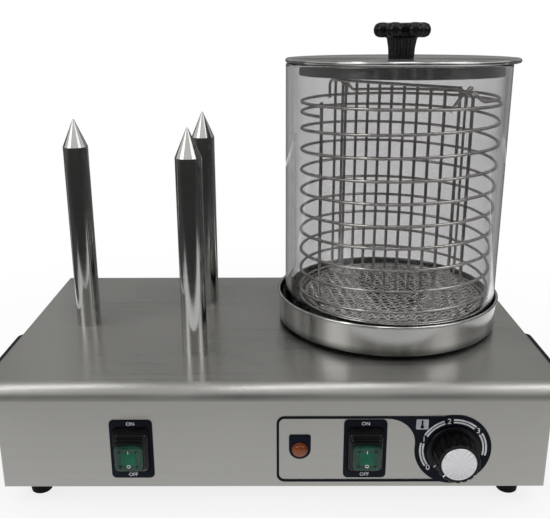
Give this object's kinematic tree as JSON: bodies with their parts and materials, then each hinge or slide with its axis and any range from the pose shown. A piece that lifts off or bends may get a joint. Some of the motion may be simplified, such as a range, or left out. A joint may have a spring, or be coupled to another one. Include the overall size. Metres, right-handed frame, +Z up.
{
  "type": "hot dog warmer",
  "caption": "Counter-top hot dog warmer with heated bun spikes, a steam tray under a lidded glass cylinder with a wire basket, hooded switches and a thermostat.",
  "frame": {"origin": "under the middle of the whole part, on the surface that it stands on", "axes": "+X to the right seen from the front, +Y to the back, +Z up"},
  "size_m": [0.515, 0.292, 0.4059],
  "materials": {
    "housing_steel": "stainless sheet brushed along the width",
    "polished_steel": "polished stainless",
    "wire_steel": "bright stainless wire",
    "zinc_steel": "zinc plated",
    "black_plastic": "moulded, half gloss",
    "black_grip": "moulded, fine grain",
    "black_rubber": "moulded rubber",
    "printed_navy": "printed film",
    "green_plastic": "lit translucent rocker",
    "green_window": "clear soft cap",
    "amber_lens": "moulded lens",
    "clear_glass": "clear, polished",
    "aluminium": "spun",
    "heater_steel": "heat darkened",
    "moulded_tan": "moulded",
    "copper": "drawn tube"
  },
  "bodies": {
    "housing": {"top_cover": "housing_steel", "left_side_panel": "housing_steel", "right_side_panel": "housing_steel", "front_panel": "housing_steel", "rear_panel": "housing_steel", "base_pan": "housing_steel", "left_handle": "black_grip", "right_handle": "black_grip", "handle_screws": "zinc_steel", "base_screws": "zinc_steel", "rear_screws": "zinc_steel", "feet": "black_rubber", "foot_screws": "zinc_steel", "spike_tube_left": "polished_steel", "spike_tube_front": "polished_steel", "spike_tube_rear": "polished_steel", "spike_tip_left": "polished_steel", "spike_tip_front": "polished_steel", "spike_tip_rear": "polished_steel", "spike_heaters": "heater_steel", "spike_nuts": "zinc_steel", "steam_tray": "polished_steel", "tray_seal": "black_rubber", "tray_nuts": "zinc_steel", "heater_plate": "aluminium", "ring_heater": "heater_steel", "safety_cutout": "black_plastic", "thermostat_body": "moulded_tan", "thermostat_bulb": "copper", "thermostat_screws": "zinc_steel", "dial_overlay": "printed_navy", "left_switch_plate": "black_plastic", "right_switch_plate": "black_plastic", "left_switch_body": "black_plastic", "right_switch_body": "black_plastic", "left_switch_hood": "black_plastic", "right_switch_hood": "black_plastic", "left_switch_window": "green_window", "right_switch_window": "green_window", "lamp_plate": "black_plastic", "pilot_lens": "amber_lens", "pilot_lamp_body": "black_plastic", "terminal_block": "moulded_tan", "cable_gland": "black_grip", "gland_nut": "black_grip"},
    "glass": {"glass_cylinder": "clear_glass"},
    "basket": {"basket_coil": "wire_steel", "basket_rings": "wire_steel", "basket_struts": "wire_steel", "basket_divider": "wire_steel", "basket_floor": "wire_steel"},
    "basket_handle": {"basket_handle": "wire_steel"},
    "lid": {"lid": "polished_steel", "lid_knob": "black_plastic", "lid_knob_screw": "zinc_steel"},
    "left_rocker": {"left_rocker": "green_plastic"},
    "right_rocker": {"right_rocker": "green_plastic"},
    "thermostat_dial": {"thermostat_shaft": "zinc_steel", "thermostat_knob": "black_plastic", "knob_cap": "aluminium"}
  },
  "joints": [
    {"name": "glass_lift", "type": "slide", "parent": "housing", "child": "glass", "axis": [0, 0, 1], "range_m": [0, 0.06]},
    {"name": "basket_lift", "type": "slide", "parent": "glass", "child": "basket", "axis": [0, 0, 1], "range_m": [0, 0.26]},
    {"name": "lid_lift", "type": "slide", "parent": "basket", "child": "lid", "axis": [0, 0, 1], "range_m": [0, 0.12]},
    {"name": "basket_handle_swing", "type": "hinge", "parent": "basket", "child": "basket_handle", "pos_m": [0.1151, 0.0055, 0.3508], "axis": [0.5388, -0.8425, 0], "range_deg": [0, 90]},
    {"name": "left_rocker_tilt", "type": "hinge", "parent": "housing", "child": "left_rocker", "pos_m": [-0.122, -0.1169, 0.055], "axis": [-1, 0, 0], "range_deg": [0, 18]},
    {"name": "right_rocker_tilt", "type": "hinge", "parent": "housing", "child": "right_rocker", "pos_m": [0.0785, -0.1169, 0.055], "axis": [-1, 0, 0], "range_deg": [0, 18]},
    {"name": "thermostat_turn", "type": "hinge", "parent": "housing", "child": "thermostat_dial", "pos_m": [0.154, -0.1185, 0.0544], "axis": [0, 1, 0], "range_deg": [0, 240]}
  ],
  "couplings": [
    {"joint": "basket_handle_swing", "follows": "lid_lift", "rad_per_m": 13.08}
  ]
}
